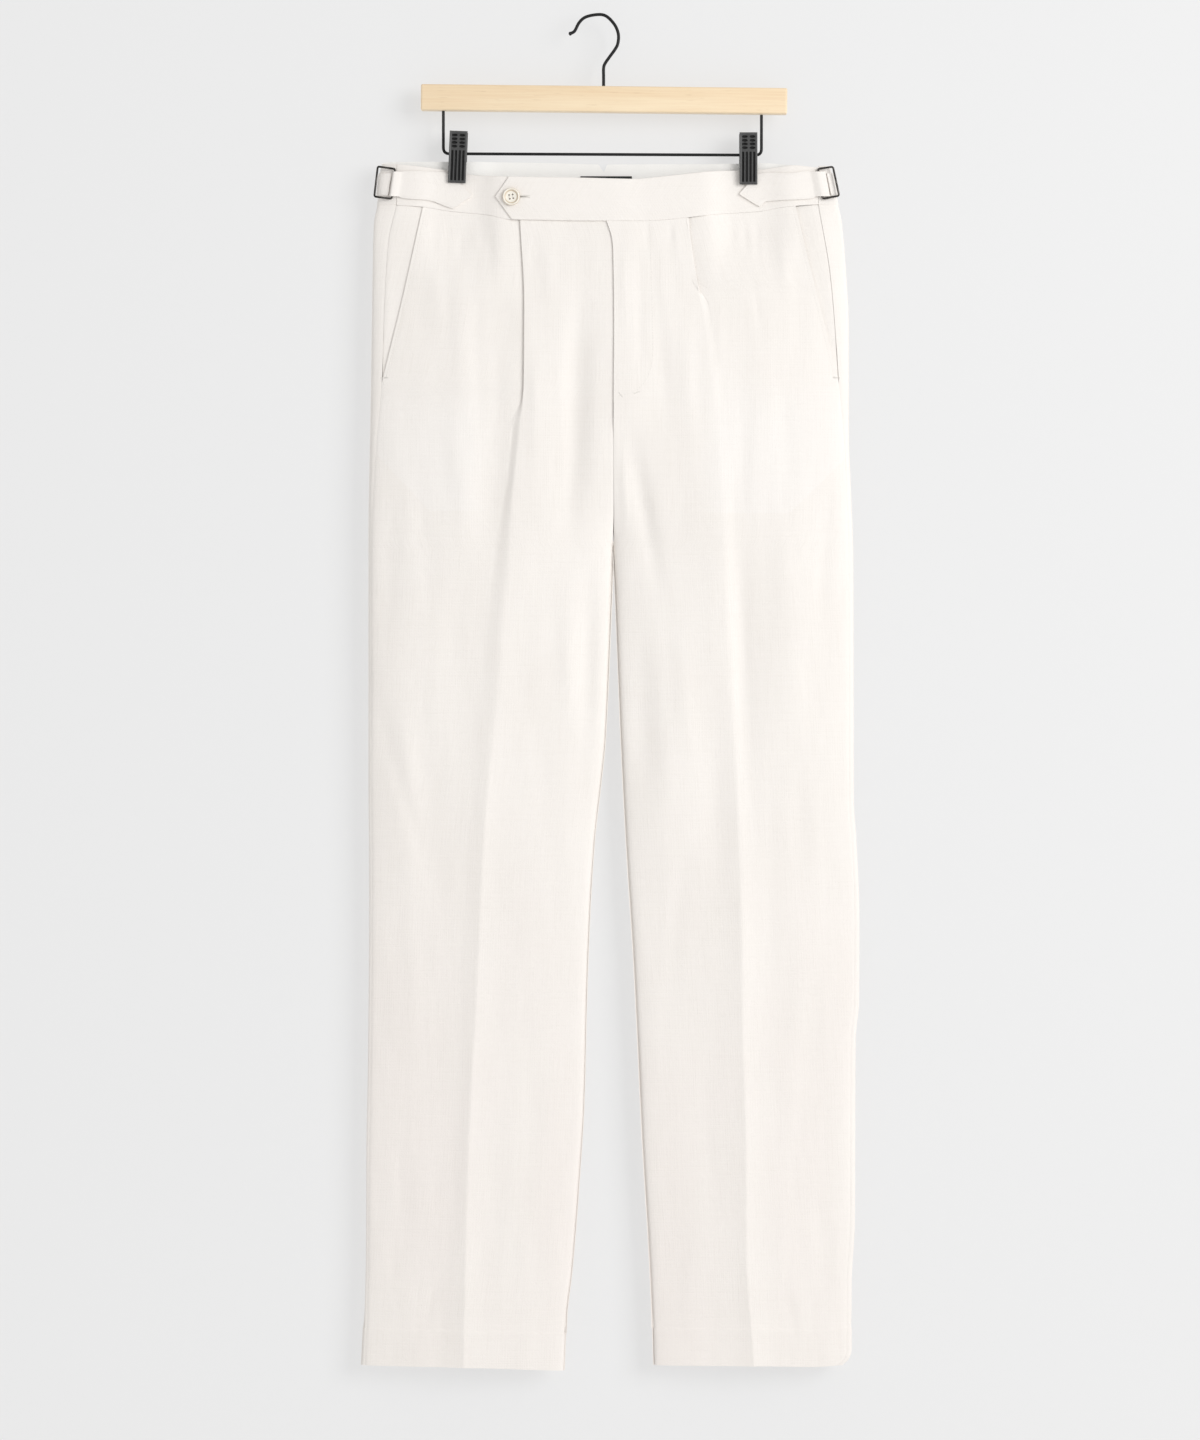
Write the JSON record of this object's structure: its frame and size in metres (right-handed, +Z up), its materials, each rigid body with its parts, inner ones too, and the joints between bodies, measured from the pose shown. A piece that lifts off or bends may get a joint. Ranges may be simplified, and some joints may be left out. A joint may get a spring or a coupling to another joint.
{
  "type": "side tab trousers on a clip hanger",
  "caption": "Off-white linen trousers with pleats, side tabs and an extended waistband, hanging from a wooden clip hanger.",
  "frame": {"origin": "inside top of the hanger's hook, where the rail carries it", "axes": "+Z up, +X to the right of a viewer who looks at the front of the trousers, +Y from their front to their back"},
  "size_m": [0.4838, 0.0393, 1.3204],
  "materials": {
    "linen": "off-white linen with a plain slubbed weave",
    "pocketing": "thin white cotton pocketing",
    "maple": "pale maple with a satin lacquer",
    "black_steel": "black satin paint on steel wire",
    "black_plastic": "black moulded plastic, satin",
    "nickel": "dark nickel plate, satin",
    "horn": "cream four-hole button, polished",
    "black_tape": "plain black woven tape"
  },
  "bodies": {
    "root": {"back_left": "linen", "back_right": "linen", "buckle_left": "nickel", "buckle_right": "nickel", "button": "horn", "clip_back_left": "black_plastic", "clip_back_right": "black_plastic", "clip_front_left": "black_plastic", "clip_front_right": "black_plastic", "front_left": "linen", "front_right": "linen", "hanger_bar": "maple", "hanger_wire": "black_steel", "hook": "black_steel", "label": "black_tape", "pocket_bag_left": "pocketing", "pocket_bag_right": "pocketing", "pocket_facing_left": "linen", "pocket_facing_right": "linen", "side_strap_left": "linen", "side_strap_right": "linen", "strap_anchor_left": "linen", "strap_anchor_right": "linen", "waistband_back_left": "linen", "waistband_back_right": "linen", "waistband_front_left": "linen", "waistband_front_right": "linen"}
  },
  "joints": []
}
